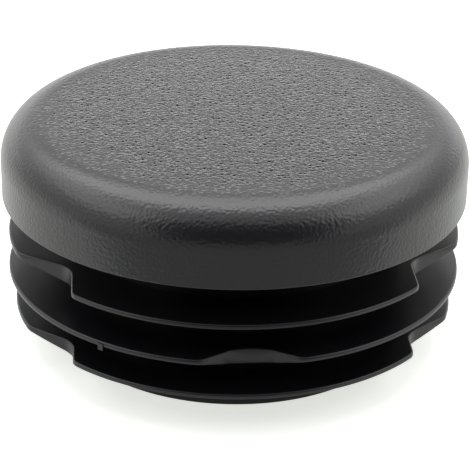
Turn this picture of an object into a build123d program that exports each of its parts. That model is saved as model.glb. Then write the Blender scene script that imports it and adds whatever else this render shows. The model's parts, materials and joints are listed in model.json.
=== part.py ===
"""Round push-in end cap for a tube, moulded in one piece from soft black polyethylene.

A broad head with a fully rounded upper edge covers the tube's end. Below it a hollow stem carries
three barbed fins, flat on top and tapered underneath, which bend back as the cap is pushed in and
then bite the bore. The upper and lower fins are stepped in at four corners, and the middle fin has
a scallop at the front and one at the back, so that each fin can flex. Millimetres, +Z up, with the
origin at the centre of the stem's open end, on which the cap stands.
"""

import os
from math import cos, hypot, radians, sin, tan

from build123d import *

# Head
head_diameter = 50.0  # covers the tube's outside diameter
head_height = 8.35  # from the tube's end to the flat top
head_edge_radius = 4.4  # the large round between the side and the top
head_lip = 0.15  # the small bevel at the bottom of the side
head_roof = 3.0  # plastic left above the hollow

# Stem
stem_diameter = 37.0
stem_wall = 2.0
stem_tail = 1.57  # plain stem left between the lower fin and the open end
stem_end_bevel = 0.3  # on the outside of the open end
hollow_roof_bevel = 1.5

# Fins
first_fin_drop = 4.13  # from the tube's end down to the upper fin's flat top
fin_pitch = 4.09
fin_tip_height = 0.5  # the narrow land that meets the bore
fin_taper = 23.0  # degrees that each fin's underside rises outwards
upper_fin_diameter = 48.8
middle_fin_diameter = 49.0
lower_fin_diameter = 47.7

# Corner steps. Each has a wall that runs straight front to back and a sloping wall, which meet at
# an inner corner: the step's depth is how far that corner lies in from the fin's rim, its azimuth is
# the turn from the front or back, and its slope is in degrees from the left-right line.
upper_step_depth = 3.65
upper_step_azimuth = 58.8
upper_step_slope = 33.0
lower_step_depth = 2.55
lower_step_azimuth = 56.4
lower_step_slope = 38.0
step_inner_radius = 2.5
step_outer_radius = 1.6

# Scallops in the middle fin
scallop_depth = 3.0
scallop_slope = 32.0
scallop_root_radius = 4.3
scallop_outer_radius = 1.5

head_radius = head_diameter / 2
stem_radius = stem_diameter / 2
upper_fin_radius = upper_fin_diameter / 2
middle_fin_radius = middle_fin_diameter / 2
lower_fin_radius = lower_fin_diameter / 2


def fin_depth(tip_radius):
    """Height of a fin where it meets the stem."""
    return fin_tip_height + (tip_radius - stem_radius) * tan(radians(fin_taper))


lower_fin_top = stem_tail + fin_depth(lower_fin_radius)
middle_fin_top = lower_fin_top + fin_pitch
upper_fin_top = middle_fin_top + fin_pitch
seat_level = upper_fin_top + first_fin_drop
top_level = seat_level + head_height


def rim_corners(outline, tip_radius):
    """The corners that the cuts leave on a fin's rim, apart from the start of its circle."""
    near = 0.001
    return [
        v for v in outline.vertices()
        if abs(hypot(v.X, v.Y) - tip_radius) < near and abs(v.Y) > near
    ]


def stepped_outline(tip_radius, depth, azimuth, slope):
    """Plan of a fin with a step cut into each of its four corners."""
    reach = 2 * tip_radius
    corner_radius = tip_radius - depth
    corner_x = corner_radius * sin(radians(azimuth))
    corner_y = corner_radius * cos(radians(azimuth))
    slope_x = corner_x + reach * cos(radians(slope))
    slope_y = corner_y - reach * sin(radians(slope))
    with BuildSketch() as outline:
        Circle(tip_radius)
        for side in (-1, 1):
            for end in (-1, 1):
                mouth = (side * corner_x, end * reach)
                corner = (side * corner_x, end * corner_y)
                slope_end = (side * slope_x, end * slope_y)
                with BuildLine():
                    FilletPolyline(mouth, corner, slope_end, radius=step_inner_radius)
                    Polyline(slope_end, (side * slope_x, end * reach), mouth)
                make_face(mode=Mode.SUBTRACT)
        fillet(rim_corners(outline, tip_radius), radius=step_outer_radius)
    return outline.sketch


def scalloped_outline(tip_radius):
    """Plan of a fin with a shallow rounded V cut into its front and another into its back."""
    reach = tip_radius
    apex_inset = scallop_root_radius * (1 / cos(radians(scallop_slope)) - 1)
    apex_y = tip_radius - scallop_depth - apex_inset
    mouth_x = reach * cos(radians(scallop_slope))
    mouth_y = apex_y + reach * sin(radians(scallop_slope))
    with BuildSketch() as outline:
        Circle(tip_radius)
        for end in (-1, 1):
            left = (-mouth_x, end * mouth_y)
            right = (mouth_x, end * mouth_y)
            with BuildLine():
                FilletPolyline(left, (0, end * apex_y), right, radius=scallop_root_radius)
                Line(right, left)
            make_face(mode=Mode.SUBTRACT)
        fillet(rim_corners(outline, tip_radius), radius=scallop_outer_radius)
    return outline.sketch


def barbed_fin(outline, tip_radius, fin_top):
    """A fin of that plan, flat on top, whose underside falls from a narrow land to the stem."""
    root_level = fin_top - fin_depth(tip_radius)
    sharp_radius = tip_radius + fin_tip_height / tan(radians(fin_taper))
    with BuildPart() as fin:
        with BuildSketch(Plane.XY.offset(root_level)):
            add(outline)
        extrude(amount=fin_top - root_level)
        with BuildSketch(Plane.XZ):
            with BuildLine():
                Polyline((0, fin_top), (0, root_level), (stem_radius, root_level))
                Polyline((stem_radius, root_level), (sharp_radius, fin_top), (0, fin_top))
            make_face()
        revolve(axis=Axis.Z, mode=Mode.INTERSECT)
    return fin.part


upper_outline = stepped_outline(
    upper_fin_radius, upper_step_depth, upper_step_azimuth, upper_step_slope
)
middle_outline = scalloped_outline(middle_fin_radius)
lower_outline = stepped_outline(
    lower_fin_radius, lower_step_depth, lower_step_azimuth, lower_step_slope
)

with BuildPart() as end_cap:
    # Head
    with BuildSketch(Plane.XY.offset(seat_level)):
        Circle(head_radius)
    extrude(amount=head_height)
    chamfer(end_cap.edges().sort_by(Axis.Z)[0], length=head_lip)
    fillet(end_cap.edges().sort_by(Axis.Z)[-1], radius=head_edge_radius)

    # Stem and fins
    with BuildSketch():
        Circle(stem_radius)
    extrude(amount=seat_level)
    add(barbed_fin(upper_outline, upper_fin_radius, upper_fin_top))
    add(barbed_fin(middle_outline, middle_fin_radius, middle_fin_top))
    add(barbed_fin(lower_outline, lower_fin_radius, lower_fin_top))
    stem_end = end_cap.faces().sort_by(Axis.Z)[0]
    chamfer(stem_end.edges(), length=stem_end_bevel)

    # Hollow, open at the stem's end and reaching up into the head
    with BuildSketch():
        Circle(stem_radius - stem_wall)
    extrude(amount=top_level - head_roof, mode=Mode.SUBTRACT)
    hollow_roof = end_cap.faces(Select.LAST).sort_by(Axis.Z)[-1]
    chamfer(hollow_roof.edges(), length=hollow_roof_bevel)

end_cap.part.label = "end_cap"
os.makedirs("parts", exist_ok=True)
export_step(end_cap.part, "parts/end_cap.step")
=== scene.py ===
"""Round push-in end cap for a tube, as moulded in black polyethylene, standing on its open end.

The cap is one moulding, so it is one mesh: each fin's plan is drawn first, its rim is dropped to a
narrow land and run in along the tapered underside to the stem, and the rings that this leaves are
bridged into the stem, the head and the hollow. Sizes are millimetres times MM, in the part's frame.
"""

import json
from math import atan2, cos, hypot, pi, radians, sin, sqrt, tan

import bmesh
import bpy
from mathutils import Matrix, Quaternion, Vector


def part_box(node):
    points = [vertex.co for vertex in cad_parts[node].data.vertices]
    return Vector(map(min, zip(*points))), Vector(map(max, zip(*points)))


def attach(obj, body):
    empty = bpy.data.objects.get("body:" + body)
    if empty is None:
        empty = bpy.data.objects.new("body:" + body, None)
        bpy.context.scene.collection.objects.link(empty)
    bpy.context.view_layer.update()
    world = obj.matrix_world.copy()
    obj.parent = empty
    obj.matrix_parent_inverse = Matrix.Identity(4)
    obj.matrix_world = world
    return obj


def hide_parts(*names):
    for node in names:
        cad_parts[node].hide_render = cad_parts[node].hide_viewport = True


MM = 0.001

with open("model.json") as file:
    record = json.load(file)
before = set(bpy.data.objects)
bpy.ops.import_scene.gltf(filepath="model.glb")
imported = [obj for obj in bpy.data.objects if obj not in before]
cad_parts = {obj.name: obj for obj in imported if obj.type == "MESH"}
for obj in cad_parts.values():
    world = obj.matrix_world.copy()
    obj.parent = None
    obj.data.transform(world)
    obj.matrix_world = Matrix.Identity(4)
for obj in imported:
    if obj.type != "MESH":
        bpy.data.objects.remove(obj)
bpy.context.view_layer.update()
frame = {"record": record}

# ---------------------------------------------------------------- sizes

mounts = {mount["name"]: mount for mount in frame["record"]["mounts"]}
far_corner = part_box("end_cap")[1]

HEAD_RADIUS = far_corner.x
TOP_LEVEL = far_corner.z
SEAT_LEVEL = mounts["tube_seat"]["pos_m"][2]
HEAD_EDGE_RADIUS = 4.4 * MM
HEAD_LIP = 0.15 * MM
HEAD_ROOF = 3.0 * MM

STEM_RADIUS = 18.5 * MM
STEM_WALL = 2.0 * MM
STEM_END_BEVEL = 0.3 * MM
HOLLOW_ROOF_BEVEL = 1.5 * MM

FIRST_FIN_DROP = 4.13 * MM
FIN_PITCH = 4.09 * MM
FIN_TIP_HEIGHT = 0.5 * MM
FIN_TAPER = radians(23.0)
UPPER_FIN_RADIUS = 24.4 * MM
MIDDLE_FIN_RADIUS = 24.5 * MM
LOWER_FIN_RADIUS = 23.85 * MM

UPPER_STEP = {"depth": 3.65 * MM, "azimuth": radians(58.8), "slope": radians(33.0)}
LOWER_STEP = {"depth": 2.55 * MM, "azimuth": radians(56.4), "slope": radians(38.0)}
STEP_INNER_RADIUS = 2.5 * MM
STEP_OUTER_RADIUS = 1.6 * MM

SCALLOP_DEPTH = 3.0 * MM
SCALLOP_SLOPE = radians(32.0)
SCALLOP_ROOT_RADIUS = 4.3 * MM
SCALLOP_OUTER_RADIUS = 1.5 * MM

FLASH_AZIMUTH = radians(-38.0)  # of a tag of flash, from the front towards the left
FLASH_THICKNESS = 0.1 * MM
FLASH_LENGTH = 0.5 * MM

MOULD_EDGE = 0.07 * MM  # how far an edge is rounded where the mould is sharp
FIN_TOP_EDGE = 0.2 * MM  # and where the fins have worn into the steel
TURN_STEPS = 256  # sides of a full circle
LONGEST_SIDE = 0.65 * MM  # of a straight wall's edges, so that it meets the round stem closely
SHARP_TURN = radians(40.0)  # a harder turn than this between two faces shows as an edge
NEAR = 0.001 * MM

# How many sides each round and bevel is drawn with
HEAD_EDGE_SIDES = 24
SCALLOP_ROOT_SIDES = 16
STEP_INNER_SIDES = 5
OUTER_CORNER_SIDES = 6
FIN_TOP_EDGE_SIDES = 4
BEVEL_SIDES = 3
MOULD_EDGE_SIDES = 2

GRAINED, POLISHED = 0, 1  # the finishes, in the order of the mesh's materials

# ---------------------------------------------------------------- helpers


def verts_of(geometry):
    return [g for g in geometry if isinstance(g, bmesh.types.BMVert)]


def edges_of(geometry):
    return [g for g in geometry if isinstance(g, bmesh.types.BMEdge)]


def new_ring(bm, ring, place):
    """Draws a closed ring of edges out into faces, and returns the new ring, set out by place."""
    drawn = bmesh.ops.extrude_edge_only(bm, edges=ring)["geom"]
    corners = set(verts_of(drawn))
    for corner in corners:
        corner.co = place(corner.co)
    return [e for e in edges_of(drawn) if e.verts[0] in corners and e.verts[1] in corners]


def at_radius(radius, level):
    """Where a ring's corner goes when it moves along its own radius to a circle."""
    def place(co):
        share = radius / hypot(co.x, co.y)
        return Vector((co.x * share, co.y * share, level))
    return place


def round_corners(bm, corners, radius, sides):
    """Rounds corners of a flat outline. A tangent's length follows from how far the corner turns."""
    for corner in corners:
        a, b = (e.other_vert(corner).co - corner.co for e in corner.link_edges)
        turn = pi - a.angle(b)
        bmesh.ops.bevel(
            bm, geom=[corner], offset=radius * tan(turn / 2), offset_type="OFFSET",
            segments=sides, profile=0.5, affect="VERTICES", material=-1,
        )


# ---------------------------------------------------------------- fins


def rim_arc(bm, start, angle):
    """Spins a point of the fin's rim about the cap's axis and returns the arc's last point."""
    steps = max(2, round(angle * TURN_STEPS / (2 * pi)))
    spun = bmesh.ops.spin(bm, geom=[start], cent=(0, 0, 0), axis=(0, 0, 1), angle=angle, steps=steps)
    return verts_of(spun["geom_last"])[0]


def on_circle(radius, azimuth, level=0.0):
    """A point at that turn from the front, which is -Y, towards +X."""
    return Vector((radius * sin(azimuth), -radius * cos(azimuth), level))


def drawn_line(bm, start, *points):
    """Straight edges from a vertex through points; returns the new vertices."""
    made = []
    for point in points:
        made.append(bm.verts.new(point))
        bm.edges.new((start, made[-1]))
        start = made[-1]
    return made


def rim_crossing(corner, direction, tip_radius):
    """Where a line from a point inside the rim's circle meets it."""
    along = corner.dot(direction)
    return corner + direction * (sqrt(along**2 + tip_radius**2 - corner.length_squared) - along)


def close_outline(bm):
    """Mirrors a quarter of a fin's plan into the whole."""
    for axis in "XY":
        bmesh.ops.mirror(bm, geom=bm.verts[:] + bm.edges[:], axis=axis, merge_dist=NEAR)
    bmesh.ops.contextual_create(bm, geom=bm.edges[:])


def at_each_quarter(bm, point):
    """The four vertices that mirroring made of one point."""
    return [v for v in bm.verts if (Vector((abs(v.co.x), -abs(v.co.y), 0)) - point).length < NEAR]


def stepped_plan(tip_radius, depth, azimuth, slope):
    """Plan of a fin with a step in each corner: a wall straight front to back and a sloping one."""
    bm = bmesh.new()
    corner = on_circle(tip_radius - depth, azimuth)
    wall_end = rim_crossing(corner, Vector((0, -1, 0)), tip_radius)
    slope_end = rim_crossing(corner, Vector((cos(slope), sin(slope), 0)), tip_radius)
    lead = STEP_OUTER_RADIUS / tip_radius  # turn that the rim leaves for a corner's round
    first = atan2(wall_end.x, -wall_end.y)
    last = atan2(slope_end.x, -slope_end.y)
    front = rim_arc(bm, bm.verts.new(on_circle(tip_radius, 0)), first - lead)
    steps = drawn_line(bm, front, wall_end, corner, slope_end, on_circle(tip_radius, last + lead))
    rim_arc(bm, steps[-1], pi / 2 - last - lead)
    close_outline(bm)
    round_corners(bm, at_each_quarter(bm, wall_end), STEP_OUTER_RADIUS, OUTER_CORNER_SIDES)
    round_corners(bm, at_each_quarter(bm, slope_end), STEP_OUTER_RADIUS, OUTER_CORNER_SIDES)
    round_corners(bm, at_each_quarter(bm, corner), STEP_INNER_RADIUS, STEP_INNER_SIDES)
    return bm


def scalloped_plan(tip_radius):
    """Plan of a fin with a shallow rounded V in its front and another in its back."""
    bm = bmesh.new()
    apex_inset = SCALLOP_ROOT_RADIUS * (1 / cos(SCALLOP_SLOPE) - 1)
    apex = Vector((0, SCALLOP_DEPTH + apex_inset - tip_radius, 0))
    mouth = rim_crossing(apex, Vector((cos(SCALLOP_SLOPE), -sin(SCALLOP_SLOPE), 0)), tip_radius)
    lead = SCALLOP_OUTER_RADIUS / tip_radius  # turn that the rim leaves for a corner's round
    first = atan2(mouth.x, -mouth.y)
    walls = drawn_line(bm, bm.verts.new(apex), mouth, on_circle(tip_radius, first + lead))
    rim_arc(bm, walls[-1], pi / 2 - first - lead)
    close_outline(bm)
    round_corners(bm, at_each_quarter(bm, mouth), SCALLOP_OUTER_RADIUS, OUTER_CORNER_SIDES)
    round_corners(bm, at_each_quarter(bm, apex), SCALLOP_ROOT_RADIUS, SCALLOP_ROOT_SIDES)
    return bm


def divide_walls(plan):
    """Cuts a plan's straight walls into short sides."""
    for wall in [e for e in plan.edges if e.calc_length() > LONGEST_SIDE]:
        cuts = int(wall.calc_length() / LONGEST_SIDE)
        bmesh.ops.subdivide_edges(plan, edges=[wall], cuts=cuts)


def add_fin(bm, plan, tip_radius, top):
    """Builds a fin on its plan. Returns its rings on the stem, below and above, its rim and its land's
    lower edge."""
    plan_mesh = bpy.data.meshes.new("fin_plan")
    bmesh.ops.delete(plan, geom=plan.faces[:], context="FACES_ONLY")
    divide_walls(plan)
    bmesh.ops.translate(plan, verts=plan.verts[:], vec=(0, 0, top))
    plan.to_mesh(plan_mesh)
    plan.free()
    known = set(bm.edges)
    bm.from_mesh(plan_mesh)
    bpy.data.meshes.remove(plan_mesh)
    rim = [e for e in bm.edges if e not in known]

    def underside(radius):
        return top - FIN_TIP_HEIGHT - (tip_radius - radius) * tan(FIN_TAPER)

    above = new_ring(bm, rim, at_radius(STEM_RADIUS, top))
    land = new_ring(bm, rim, lambda co: Vector((co.x, co.y, underside(hypot(co.x, co.y)))))
    below = new_ring(bm, land, at_radius(STEM_RADIUS, underside(STEM_RADIUS)))
    return below, above, rim, land


# ---------------------------------------------------------------- the moulding


def circle(bm, radius, level):
    """A new ring of edges about the cap's axis."""
    made = bmesh.ops.create_circle(
        bm, segments=TURN_STEPS, radius=radius, matrix=Matrix.Translation((0, 0, level))
    )
    return list(dict.fromkeys(e for v in made["verts"] for e in v.link_edges))


def add_flash(bm, radius, level):
    """Draws a tag of flash out of a fin's land and down, as the mould's joint line leaves it."""
    bm.normal_update()
    spot = on_circle(radius, FLASH_AZIMUTH, level)
    land = min(bm.faces, key=lambda face: (face.calc_center_median() - spot).length)
    outward = land.normal.copy()
    tag = bmesh.ops.extrude_discrete_faces(bm, faces=[land])["faces"][0]
    bmesh.ops.translate(bm, verts=tag.verts[:], vec=outward * FLASH_THICKNESS)
    bm.normal_update()
    sides = {face for edge in tag.edges for face in edge.link_faces} - {tag}
    foot = min(sides, key=lambda face: face.normal.z)
    tip = bmesh.ops.extrude_discrete_faces(bm, faces=[foot])["faces"][0]
    bmesh.ops.translate(bm, verts=tip.verts[:], vec=(0, 0, -FLASH_LENGTH))


def build_moulding():
    """The whole cap as one closed bmesh."""
    bm = bmesh.new()
    upper_top = SEAT_LEVEL - FIRST_FIN_DROP
    middle_top = upper_top - FIN_PITCH
    lower_top = middle_top - FIN_PITCH
    fins = [
        add_fin(bm, stepped_plan(LOWER_FIN_RADIUS, **LOWER_STEP), LOWER_FIN_RADIUS, lower_top),
        add_fin(bm, scalloped_plan(MIDDLE_FIN_RADIUS), MIDDLE_FIN_RADIUS, middle_top),
        add_fin(bm, stepped_plan(UPPER_FIN_RADIUS, **UPPER_STEP), UPPER_FIN_RADIUS, upper_top),
    ]
    rims = [edge for below, above, rim, land in fins for edge in rim]
    lands = [edge for below, above, rim, land in fins for edge in land]

    # Head, from the ring where the stem meets its underside
    stem_top = circle(bm, STEM_RADIUS, SEAT_LEVEL)
    lip = new_ring(bm, stem_top, at_radius(HEAD_RADIUS, SEAT_LEVEL))
    shoulder = new_ring(bm, lip, at_radius(HEAD_RADIUS, TOP_LEVEL))
    bmesh.ops.contextual_create(bm, geom=shoulder)

    # Hollow, from the stem's open end up to the roof
    stem_end = circle(bm, STEM_RADIUS, 0)
    hollow_radius = STEM_RADIUS - STEM_WALL
    mouth = new_ring(bm, stem_end, at_radius(hollow_radius, 0))
    roof_level = TOP_LEVEL - HEAD_ROOF
    roof_start = new_ring(bm, mouth, at_radius(hollow_radius, roof_level - HOLLOW_ROOF_BEVEL))
    roof = new_ring(bm, roof_start, at_radius(hollow_radius - HOLLOW_ROOF_BEVEL, roof_level))
    bmesh.ops.contextual_create(bm, geom=roof)

    # Stem, from ring to ring
    roots = [ring for below, above, rim, land in fins for ring in (below, above)]
    rings = [stem_end, *roots, stem_top]
    for lower, upper in zip(rings[::2], rings[1::2]):
        bmesh.ops.bridge_loops(bm, edges=lower + upper)

    bmesh.ops.recalc_face_normals(bm, faces=bm.faces[:])
    for edges, offset, sides in (
        (shoulder, HEAD_EDGE_RADIUS, HEAD_EDGE_SIDES),
        (lip, HEAD_LIP, BEVEL_SIDES),
        (stem_end, STEM_END_BEVEL, BEVEL_SIDES),
        (mouth, MOULD_EDGE, MOULD_EDGE_SIDES),
        (rims, FIN_TOP_EDGE, FIN_TOP_EDGE_SIDES),
        (lands, MOULD_EDGE, MOULD_EDGE_SIDES),
    ):
        bmesh.ops.bevel(
            bm, geom=edges, offset=offset, offset_type="OFFSET", segments=sides,
            profile=0.5, affect="EDGES", material=-1,
        )
    add_flash(bm, MIDDLE_FIN_RADIUS, middle_top - FIN_TIP_HEIGHT / 2)
    return bm


def mark_finishes(bm):
    """Grains the head above its seat, polishes the rest and marks the edges that show as sharp."""
    for face in bm.faces:
        face.smooth = True
        centre = face.calc_center_median()
        outside = hypot(centre.x, centre.y) > STEM_RADIUS or centre.z > TOP_LEVEL - HEAD_ROOF / 2
        grained = centre.z > SEAT_LEVEL + NEAR and outside
        face.material_index = GRAINED if grained else POLISHED
    for edge in bm.edges:
        edge.smooth = edge.calc_face_angle() < SHARP_TURN


def add_object(bm, name):
    """Puts a bmesh into the scene as an object."""
    mesh = bpy.data.meshes.new(name)
    bm.to_mesh(mesh)
    bm.free()
    made = bpy.data.objects.new(name, mesh)
    bpy.context.scene.collection.objects.link(made)
    return made


moulding = build_moulding()
mark_finishes(moulding)
cap = add_object(moulding, "end_cap_moulding")

# ---------------------------------------------------------------- materials

PIT_SPACING = 0.6 * MM  # coarser than the real sparks, so that the pits show
PIT_RADIUS = 0.45  # share of the spacing
PIT_DEPTH = 1.2 * MM  # many times the real depth, as a bump stays weak in pits of a pixel or two
PITS_FADE = 15.5 * MM  # from the axis, where the pits begin to run out
PITS_END = 22.4 * MM
GRAIN_SIZE = 0.32 * MM  # also coarser than the real grain
TOP_GRAIN = 0.065 * MM  # height of the grain between the pits
SIDE_GRAIN = 0.036 * MM  # and of the grain on the stoned side
TOP_ROUGHNESS = 0.21
SIDE_ROUGHNESS = 0.31
FIN_ROUGHNESS = 0.32

HEAD_IOR = 1.54  # polyethylene's
FIN_IOR = 1.45  # a little under it, as the fins shine less
PLAIN_SHINE = 0.5  # the Specular IOR Level that leaves the IOR's own shine
PIT_SHADE_DEPTH = 0.5  # squared depth, as a share, from which a pit's floor mirrors nothing: painted shade, for the shade that the pit's walls cast on its floor


def colour(hex_code):
    """An sRGB hex colour as linear red, green, blue and alpha."""
    channels = [int(hex_code[i:i + 2], 16) / 255 for i in (1, 3, 5)]
    linear = [c / 12.92 if c <= 0.04045 else ((c + 0.055) / 1.055) ** 2.4 for c in channels]
    return (*linear, 1.0)


def add_node(tree, kind, inputs=None, **settings):
    """Adds a node. An input is given a value, or another node's output to be linked to."""
    node = tree.nodes.new(kind)
    for name, value in settings.items():
        setattr(node, name, value)
    for name, value in (inputs or {}).items():
        if isinstance(value, bpy.types.NodeSocket):
            tree.links.new(value, node.inputs[name])
        else:
            node.inputs[name].default_value = value
    return node


def new_material(name):
    """A material with no nodes yet, and its node tree."""
    material = bpy.data.materials.new(name)
    material.use_nodes = True
    material.node_tree.nodes.clear()
    return material, material.node_tree


def spark_eroded_polyethylene():
    """Black polyethylene from a spark-eroded cavity: a pitted top that glitters at a low angle.

    A pit's near wall catches the light from behind. The shade that its own walls cast on its floor is
    painted: the pit's shine is turned down with its depth.
    The cavity's side was stoned smoother, so that the cap draws out of it with a fine grain.
    """
    material, tree = new_material("spark_eroded_polyethylene")
    place = add_node(tree, "ShaderNodeTexCoord").outputs["Object"]
    seen_from_above = add_node(tree, "ShaderNodeVectorMath", {
        0: place, 1: (1, 1, 0),
    }, operation="MULTIPLY")
    from_axis = add_node(tree, "ShaderNodeVectorMath", {
        0: seen_from_above.outputs["Vector"],
    }, operation="LENGTH")
    on_top = add_node(tree, "ShaderNodeMapRange", {
        "Value": from_axis.outputs["Value"], "From Min": PITS_FADE, "From Max": PITS_END,
        "To Min": 1.0, "To Max": 0.0,
    }, interpolation_type="SMOOTHSTEP")

    sparks = add_node(tree, "ShaderNodeTexVoronoi", {"Vector": place, "Scale": 1 / PIT_SPACING})
    bowl = add_node(tree, "ShaderNodeMapRange", {
        "Value": sparks.outputs["Distance"], "From Min": 0.0, "From Max": PIT_RADIUS,
        "To Min": 1.0, "To Max": 0.0,
    }, interpolation_type="SMOOTHSTEP")
    strength = add_node(tree, "ShaderNodeSeparateXYZ", {"Vector": sparks.outputs["Color"]})
    pit = add_node(tree, "ShaderNodeMath", {
        0: bowl.outputs["Result"], 1: strength.outputs["X"],
    }, operation="MULTIPLY")
    top_pit = add_node(tree, "ShaderNodeMath", {
        0: pit.outputs["Value"], 1: on_top.outputs["Result"],
    }, operation="MULTIPLY").outputs["Value"]
    # Painted shade: the shine fades to nothing in a pit's deeper part, in place of the shade of its
    # walls
    squared = add_node(tree, "ShaderNodeMath", {0: top_pit, 1: 2.0}, operation="POWER")
    shine = add_node(tree, "ShaderNodeMapRange", {
        "Value": squared.outputs["Value"], "From Min": 0.0, "From Max": PIT_SHADE_DEPTH,
        "To Min": PLAIN_SHINE, "To Max": 0.0,
    })

    noise = add_node(tree, "ShaderNodeTexNoise", {
        "Vector": place, "Scale": 1 / GRAIN_SIZE, "Detail": 0.0,
    })
    grain_depth = add_node(tree, "ShaderNodeMapRange", {
        "Value": on_top.outputs["Result"], "To Min": SIDE_GRAIN, "To Max": TOP_GRAIN,
    })
    grain = add_node(tree, "ShaderNodeMath", {
        0: noise.outputs["Fac"], 1: grain_depth.outputs["Result"],
    }, operation="MULTIPLY")
    height = add_node(tree, "ShaderNodeMath", {
        0: top_pit, 1: -PIT_DEPTH, 2: grain.outputs["Value"],
    }, operation="MULTIPLY_ADD")
    bump = add_node(tree, "ShaderNodeBump", {
        "Height": height.outputs["Value"], "Strength": 1.0,
        "Distance": 1.0,  # as the height is in metres already
    })

    roughness = add_node(tree, "ShaderNodeMapRange", {
        "Value": on_top.outputs["Result"], "To Min": SIDE_ROUGHNESS, "To Max": TOP_ROUGHNESS,
    })
    shader = add_node(tree, "ShaderNodeBsdfPrincipled", {
        "Base Color": colour("#17171b"), "Roughness": roughness.outputs["Result"],
        "IOR": HEAD_IOR, "Specular IOR Level": shine.outputs["Result"],
        "Normal": bump.outputs["Normal"],
    })
    add_node(tree, "ShaderNodeOutputMaterial", {"Surface": shader.outputs["BSDF"]})
    return material


def polished_polyethylene():
    """Black polyethylene from a plainly machined cavity: smooth, so it shines like satin."""
    material, tree = new_material("polished_polyethylene")
    shader = add_node(tree, "ShaderNodeBsdfPrincipled", {
        "Base Color": colour("#131317"), "Roughness": FIN_ROUGHNESS, "IOR": FIN_IOR,
    })
    add_node(tree, "ShaderNodeOutputMaterial", {"Surface": shader.outputs["BSDF"]})
    return material


cap.data.materials.append(spark_eroded_polyethylene())
cap.data.materials.append(polished_polyethylene())
weighted = cap.modifiers.new("weighted_normals", "WEIGHTED_NORMAL")
weighted.keep_sharp = True

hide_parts("end_cap")
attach(cap, "root")

# ---------------------------------------------------------------- floor and light

ROOM_LEVEL = 0.18  # how bright the white room is as a light; seen or mirrored, it is plain white
FLOOR_WASH = 0.77  # white that a pale table top is washed out by, over its own shaded colour
MIRRORED_WASH = 0.48  # share of it that still shows where black plastic mirrors the table
FLOOR_RADIUS = 3.0
FLOOR_SIDES = 64
FLOOR_GAP = 0.02 * MM  # down to the floor, so that it is just clear of the stem's end


def background_rays(tree, mirrored_share=1.0):
    """1 on a ray that sees what it meets, a share on one that mirrors it, 0 on gathered light."""
    rays = add_node(tree, "ShaderNodeLightPath").outputs
    mirrored = add_node(tree, "ShaderNodeMath", {
        0: rays["Is Glossy Ray"], 1: rays["Is Transmission Ray"],
    }, operation="ADD", use_clamp=True)
    return add_node(tree, "ShaderNodeMath", {
        0: mirrored.outputs["Value"], 1: mirrored_share, 2: rays["Is Camera Ray"],
    }, operation="MULTIPLY_ADD").outputs["Value"]


def white_table():
    """Matt white table top: it washes out to white, and keeps the cap's shadow close to the cap."""
    material, tree = new_material("white_table")
    wash = add_node(tree, "ShaderNodeMath", {
        0: background_rays(tree, MIRRORED_WASH), 1: FLOOR_WASH,
    }, operation="MULTIPLY")
    matt = add_node(tree, "ShaderNodeBsdfDiffuse", {"Color": colour("#f1f3ee")})
    white = add_node(tree, "ShaderNodeEmission", {
        "Color": colour("#f1f3ee"), "Strength": wash.outputs["Value"],
    })
    both = add_node(tree, "ShaderNodeAddShader", {
        0: matt.outputs["BSDF"], 1: white.outputs["Emission"],
    })
    add_node(tree, "ShaderNodeOutputMaterial", {"Surface": both.outputs["Shader"]})
    material.cycles.emission_sampling = "NONE"
    return material


def darker_in_mirror_card(name, hex_code):
    """Matt card, which mirrors as a darker place than the white room."""
    material, tree = new_material(name)
    card = add_node(tree, "ShaderNodeBsdfDiffuse", {"Color": colour(hex_code)})
    add_node(tree, "ShaderNodeOutputMaterial", {"Surface": card.outputs["BSDF"]})
    return material


def lay_floor():
    """The table top, round and so wide that its edge is out of sight."""
    bm = bmesh.new()
    bmesh.ops.create_circle(bm, cap_ends=True, segments=FLOOR_SIDES, radius=FLOOR_RADIUS)
    floor = add_object(bm, "floor")
    floor.data.materials.append(white_table())
    floor.location.z = -FLOOR_GAP


def whiten_room():
    """Plain white to the camera and in mirrors, and a dim even light on what stands in it."""
    world = bpy.data.worlds.new("white_room")
    bpy.context.scene.world = world
    world.use_nodes = True
    world.cycles.sampling_method = "NONE"
    tree = world.node_tree
    tree.nodes.clear()
    light = add_node(tree, "ShaderNodeBackground", {
        "Color": colour("#ffffff"), "Strength": ROOM_LEVEL,
    })
    white = add_node(tree, "ShaderNodeBackground", {"Color": colour("#ffffff"), "Strength": 1.0})
    both = add_node(tree, "ShaderNodeMixShader", {
        0: background_rays(tree), 1: light.outputs["Background"], 2: white.outputs["Background"],
    })
    add_node(tree, "ShaderNodeOutputWorld", {"Surface": both.outputs["Shader"]})


def round_the_cap(azimuth, elevation, distance):
    """A place at that turn from the cap's front, towards its right, and that many degrees up."""
    turn, climb = radians(azimuth), radians(elevation)
    return distance * Vector((cos(climb) * sin(turn), -cos(climb) * cos(turn), sin(climb)))


def face_the_cap(piece, place):
    """Moves a lamp or a card to its place and turns its front to the cap."""
    piece.location = place
    piece.rotation_mode = "QUATERNION"
    piece.rotation_quaternion = (-place).to_track_quat("-Z", "Y")


def softbox(name, place, size, brightness):
    """A soft lamp that looks brightness times as bright as white paper in plain light."""
    light = bpy.data.lights.new(name, "AREA")
    light.shape = "RECTANGLE"
    light.size, light.size_y = size
    light.energy = brightness * pi * size[0] * size[1]
    box = bpy.data.objects.new(name, light)
    bpy.context.scene.collection.objects.link(box)
    face_the_cap(box, place)


def card(name, size, material):
    """A card that only shows mirrored in the plastic, and that keeps no light from the table."""
    bm = bmesh.new()
    bmesh.ops.create_grid(bm, x_segments=1, y_segments=1, size=0.5)
    bmesh.ops.scale(bm, verts=bm.verts[:], vec=(*size, 1))
    piece = add_object(bm, name)
    piece.data.materials.append(material)
    piece.visible_camera = piece.visible_diffuse = piece.visible_shadow = False
    return piece


lay_floor()
whiten_room()

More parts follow.
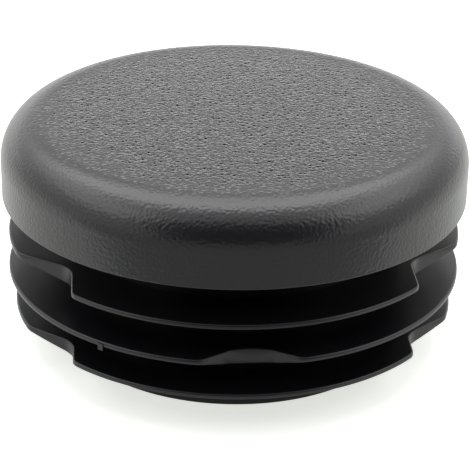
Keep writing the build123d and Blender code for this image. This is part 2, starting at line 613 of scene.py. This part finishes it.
# Where each softbox stands (degrees round the cap, degrees up, metres away), its width and height
# in metres, and its brightness
softbox("overhead_softbox", round_the_cap(180, 82, 0.9), (0.9, 0.36), 3.9)
softbox("rear_softbox", round_the_cap(180, 59, 0.9), (1.1, 0.36), 2.25)
softbox("back_softbox", round_the_cap(180, 8, 0.9), (1.8, 0.16), 1.2)
softbox("rear_left_softbox", round_the_cap(-130, 45, 0.9), (0.6, 0.5), 1.4)
softbox("rear_right_softbox", round_the_cap(130, 45, 0.9), (0.6, 0.5), 1.1)
softbox("left_softbox", round_the_cap(-80, 42, 0.8), (0.6, 0.4), 1.6)
softbox("right_softbox", round_the_cap(80, 42, 0.8), (0.6, 0.4), 1.8)

# One card upright in front of the cap, and one flat on the table from its foot forwards; the flat one
# is painted shade on the table, seen only where the black plastic mirrors it
front_card = card("front_card", (1.0, 0.6), darker_in_mirror_card("dark_grey_card", "#404040"))
face_the_cap(front_card, round_the_cap(0, 25, 0.6))
# Painted shade: a pale grey sheet that the plastic mirrors in place of the shaded table in front of
# the cap
table_shade_card = card("table_shade_card", (0.7, 0.426), darker_in_mirror_card("table_shade_in_mirror_card", "#b4b4b4"))
table_shade_card.location = (0, -0.247, 0.5 * MM)

# ---------------------------------------------------------------- camera

CAMERA_DISTANCE = 212.35 * MM  # from the middle of the head's underside
CAMERA_ELEVATION = radians(24.02)
CAMERA_TURN = radians(4.8)  # to the left of the cap's front
CAMERA_ROLL = radians(0.925)
AIM = Vector((0.15, 0.01, 10.69)) * MM  # the point in the middle of the picture
LENS = 150.3  # on a sensor SENSOR_WIDTH wide
SENSOR_WIDTH = 36.0
NEAREST_SEEN = 10 * MM

seat_middle = Vector((0, 0, SEAT_LEVEL))
toward = Vector((
    -cos(CAMERA_ELEVATION) * sin(CAMERA_TURN),
    -cos(CAMERA_ELEVATION) * cos(CAMERA_TURN),
    sin(CAMERA_ELEVATION),
))
camera = bpy.data.objects.new("camera", bpy.data.cameras.new("camera"))
camera.location = seat_middle + toward * CAMERA_DISTANCE
camera.rotation_mode = "QUATERNION"
level_view = (AIM - camera.location).to_track_quat("-Z", "Y")
camera.rotation_quaternion = level_view @ Quaternion((0, 0, 1), CAMERA_ROLL)
camera.data.lens = LENS
camera.data.sensor_width = SENSOR_WIDTH
camera.data.clip_start = NEAREST_SEEN
bpy.context.scene.collection.objects.link(camera)
bpy.context.scene.camera = camera
bpy.context.scene.view_settings.view_transform = "Standard"
